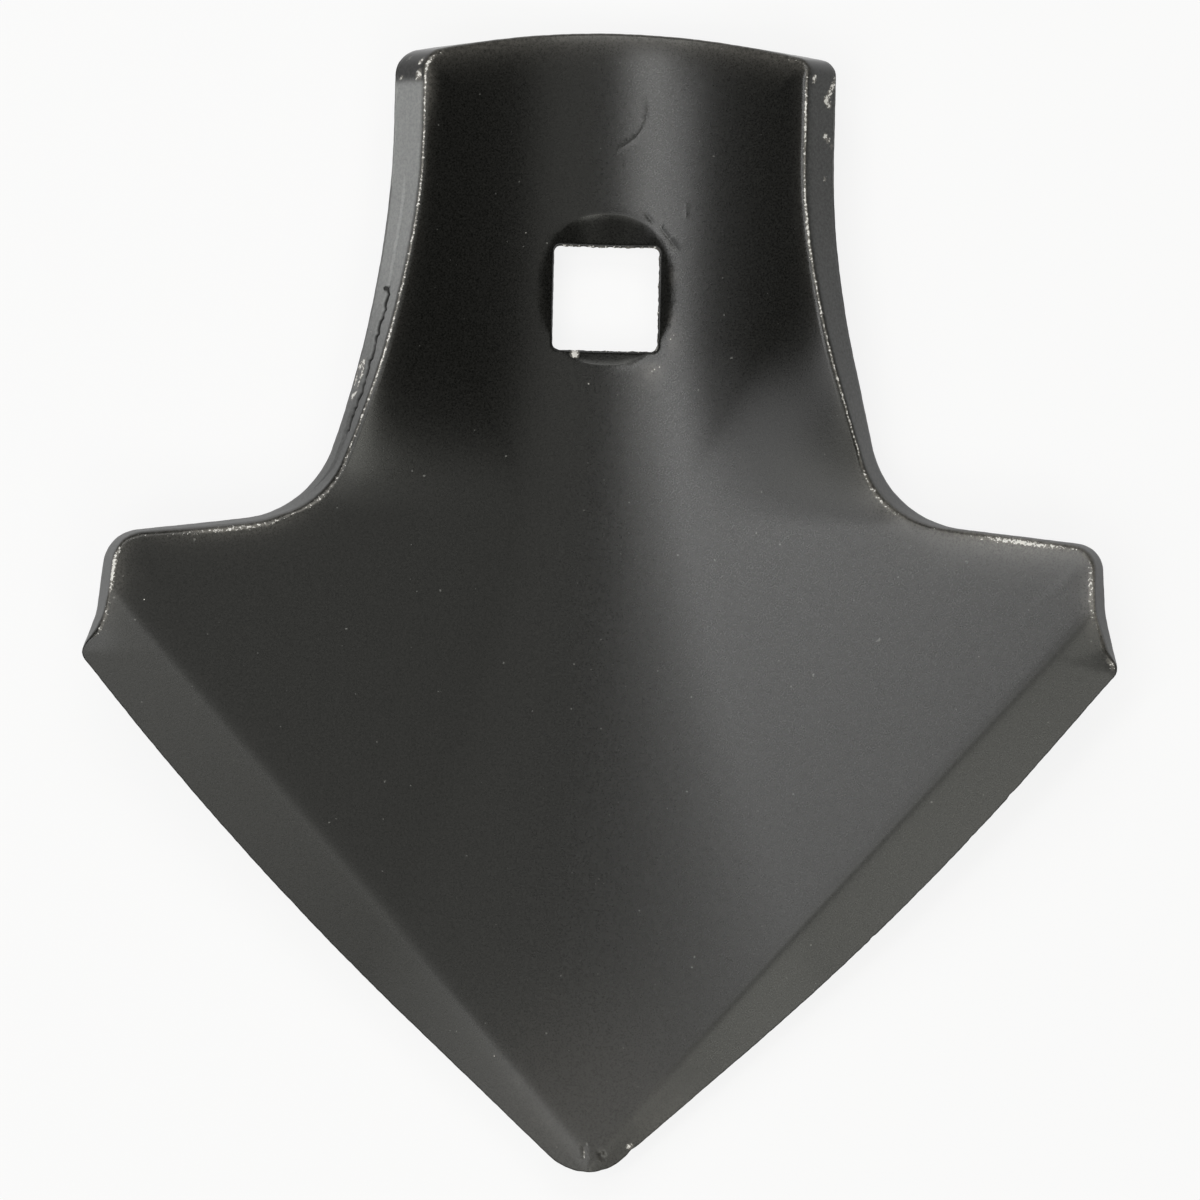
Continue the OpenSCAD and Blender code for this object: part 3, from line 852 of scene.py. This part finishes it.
def paint_material():
    """Satin black paint, greyer on the sheared edge faces, and worn to bright steel along the rims. The edge
    faces carry painted light on the left and painted shade on the right, the crack a painted shadow, and the
    tip painted light.
    """
    material, tree = new_material("worn_black_paint")
    place = add_node(tree, "ShaderNodeTexCoord").outputs["Object"]
    place_mm = add_node(
        tree, "ShaderNodeVectorMath", {0: place, "Scale": 1 / MM}, operation="SCALE"
    ).outputs["Vector"]

    def noise(scale, detail=2.0, roughness=0.5):
        inputs = {"Vector": place_mm, "Scale": scale, "Detail": detail, "Roughness": roughness}
        return add_node(tree, "ShaderNodeTexNoise", inputs).outputs["Fac"]

    bare, thin, edge, pale, crack_shadow = (
        add_node(tree, "ShaderNodeAttribute", attribute_name=name).outputs["Fac"] for name in SHARES
    )
    grain = noise(5.5, 3.0, 0.6)
    flecks = noise(3.2, 4.0, 0.75)
    sparks = noise(3.8, 2.0, 0.6)
    mottle = ranged(tree, flecks, 0.3, 0.7, 0, 1)

    def uneven(share, noise_value, strength, low, high):
        """A share broken up by noise where there is some, and held between two levels."""
        swing = math_node(tree, "MULTIPLY", math_node(tree, "SUBTRACT", noise_value, 0.5), strength)
        present = ranged(tree, share, 0.04, 0.2, 0, 1)
        broken = math_node(tree, "MULTIPLY", math_node(tree, "ADD", share, swing), present)
        return ranged(tree, broken, low, high, 0, 1)

    rubbed = uneven(bare, flecks, 1.2, 0.3, 0.75)
    bright = uneven(bare, sparks, 3.2, 0.8, 1.0)
    crack_shaded = ranged(tree, crack_shadow, 0.25, 0.55, 0, 1)
    # Thin paint, with painted light near the tip, greys the black
    thin_share = math_node(tree, "MULTIPLY", thin, ranged(tree, flecks, 0.3, 0.7, 0.3, 1.7))

    dust = ranged(tree, noise(2.3, 0.0), 0.86, 0.9, 0, 0.3)
    black = mixed_colour(tree, ranged(tree, grain, 0.3, 0.7, 0, 1), *BLACK)
    greyed = mixed_colour(tree, thin_share, black, GREY_STEEL)
    dusty = mixed_colour(tree, dust, greyed, DUST)
    shaded_edge = mixed_colour(tree, mottle, *SHADED_EDGE)
    pale_edge = mixed_colour(tree, mottle, *LIT_EDGE)
    # Painted light and shade on the edge faces: pale where lit on the left, dark where shaded on the right
    painted = mixed_colour(tree, edge, dusty, mixed_colour(tree, pale, shaded_edge, pale_edge))
    # Painted shadow in the crack
    with_crack_shadow = mixed_colour(tree, crack_shaded, painted, CRACK_SHADOW)
    grey_steel = mixed_colour(tree, rubbed, with_crack_shadow, GREY_STEEL)
    colour = mixed_colour(tree, bright, grey_steel, BRIGHT_STEEL)

    satin = ranged(tree, grain, 0.3, 0.7, *SATIN_ROUGHNESS)
    roughness = mixed_value(tree, rubbed, mixed_value(tree, edge, satin, EDGE_ROUGHNESS), STEEL_ROUGHNESS)
    metallic = math_node(tree, "MULTIPLY", rubbed, ranged(tree, bright, 0, 1, RUBBED_METALLIC, 0))
    scuffs = math_node(tree, "MULTIPLY", math_node(tree, "MULTIPLY", rubbed, flecks), SCUFF_HEIGHT)
    height = math_node(tree, "ADD", grain, scuffs)
    bump_inputs = {"Height": height, "Strength": BUMP_STRENGTH, "Distance": BUMP_HEIGHT}
    normal = add_node(tree, "ShaderNodeBump", bump_inputs).outputs["Normal"]
    shader = add_node(
        tree, "ShaderNodeBsdfPrincipled",
        {"Base Color": colour, "Metallic": metallic, "Roughness": roughness, "Normal": normal},
    )
    add_node(tree, "ShaderNodeOutputMaterial", {"Surface": shader.outputs["BSDF"]})
    return material


def floor_material():
    """A pale floor that the camera and mirrors see as nearly white, with the object's shadow left on it."""
    material, tree = new_material("pale_floor")
    path = add_node(tree, "ShaderNodeLightPath").outputs
    seen = math_node(tree, "MAXIMUM", path["Is Camera Ray"], path["Is Glossy Ray"])
    seen = math_node(tree, "MAXIMUM", seen, path["Is Transmission Ray"])
    share = math_node(tree, "MULTIPLY", seen, FLOOR_WHITE_SHARE)
    matt = add_node(tree, "ShaderNodeBsdfDiffuse", {"Color": FLOOR_GREY})
    white = add_node(tree, "ShaderNodeEmission", {"Color": WHITE, "Strength": 1.0})
    mixed = add_node(
        tree, "ShaderNodeMixShader",
        {"Fac": share, 1: matt.outputs["BSDF"], 2: white.outputs["Emission"]},
    )
    add_node(tree, "ShaderNodeOutputMaterial", {"Surface": mixed.outputs["Shader"]})
    return material


# Stage

def add_floor():
    size = 4.0
    mesh = bpy.data.meshes.new("floor")
    corners = [(-size, -size, 0), (size, -size, 0), (size, size, 0), (-size, size, 0)]
    mesh.from_pydata(corners, [], [(0, 1, 2, 3)])
    mesh.materials.append(floor_material())
    floor = bpy.data.objects.new("floor", mesh)
    bpy.context.scene.collection.objects.link(floor)


def facing(place, aim, upward):
    """Where a lamp or camera stands that looks from a place at an aim, with its top toward a direction."""
    back = (Vector(place) - Vector(aim)).normalized()
    right = Vector(upward).cross(back).normalized()
    stand = Matrix((right, back.cross(right), back)).transposed().to_4x4()
    stand.translation = place
    return stand


def add_light(name, place, size, radiance, colour):
    """A soft light panel that faces the middle of the plate, with its width, length and brightness."""
    lamp = bpy.data.lights.new(name, "AREA")
    lamp.shape = "RECTANGLE"
    lamp.size, lamp.size_y = size
    lamp.energy = radiance * math.pi * size[0] * size[1]
    lamp.color = colour
    light = bpy.data.objects.new(name, lamp)
    light.matrix_world = facing(place, (0, 0, 0), (0, 1, 0))
    bpy.context.scene.collection.objects.link(light)


def add_world(level, colour):
    """Dim surroundings that light the plate, and that the camera sees as white."""
    world = bpy.data.worlds.new("surroundings")
    world.use_nodes = True
    bpy.context.scene.world = world
    tree = world.node_tree
    tree.nodes.clear()
    seen = add_node(tree, "ShaderNodeLightPath").outputs["Is Camera Ray"]
    dim = add_node(tree, "ShaderNodeBackground", {"Color": (*colour, 1), "Strength": level})
    white = add_node(tree, "ShaderNodeBackground", {"Color": WHITE, "Strength": 1.0})
    mixed = add_node(
        tree, "ShaderNodeMixShader",
        {"Fac": seen, 1: dim.outputs["Background"], 2: white.outputs["Background"]},
    )
    add_node(tree, "ShaderNodeOutputWorld", {"Surface": mixed.outputs["Shader"]})


def add_camera():
    """A camera over the plate, leaning a little to the left, with the plate turned a little in view."""
    distance = 0.9
    view_width = 0.12227
    aim = Vector((-0.00006, 0.0003, 0))
    lean = Vector((-0.0155, -0.0055, 1)).normalized()
    turn = math.radians(1.302)
    upward = (-math.sin(turn), math.cos(turn), 0)
    data = bpy.data.cameras.new("camera")
    data.sensor_width = 36.0
    data.lens = data.sensor_width * distance / view_width
    data.clip_start = 0.05
    data.clip_end = 20.0
    camera = bpy.data.objects.new("camera", data)
    camera.matrix_world = facing(aim + lean * distance, aim, upward)
    bpy.context.scene.collection.objects.link(camera)
    bpy.context.scene.camera = camera


# Light panels over the plate: name, place, width and length, brightness and colour
LIGHTS = [
    ("key_low", (-0.30, 0.012, 0.74), (0.16, 0.13), 8.2, (1, 1, 1)),
    ("key_high", (-0.15, 0.14, 0.74), (0.16, 0.16), 7.8, (1, 1, 0.98)),
    ("left_foot", (-0.235, -0.42, 0.74), (0.33, 0.32), 1.4, (1, 1, 0.92)),
    ("right_foot", (0.225, -0.48, 0.74), (0.30, 0.18), 4.3, (1, 1, 0.92)),
    ("right_fill", (0.225, -0.02, 0.74), (0.31, 0.48), 0.62, (1, 1, 0.94)),
    ("far_left", (-0.45, -0.24, 0.74), (0.50, 0.38), 1.9, (1, 1, 1)),
    ("overhead", (-0.11, -0.185, 0.74), (0.18, 0.14), 3.6, (1, 1, 0.98)),
    ("front", (0.10, -0.30, 0.74), (0.34, 0.28), 0.85, (1, 1, 0.94)),
    ("head_light", (-0.05, 0.55, 0.70), (0.7, 0.35), 3.0, (1, 1, 0.96)),
]
WORLD_LEVEL = 0.06
WORLD_COLOUR = (1, 1, 0.85)

plate = build_plate()
plate.data.materials.append(paint_material())
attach(plate, "root")
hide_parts("sweep")

add_floor()
add_world(WORLD_LEVEL, WORLD_COLOUR)
for light in LIGHTS:
    add_light(*light)
add_camera()
bpy.context.scene.view_settings.view_transform = "Standard"
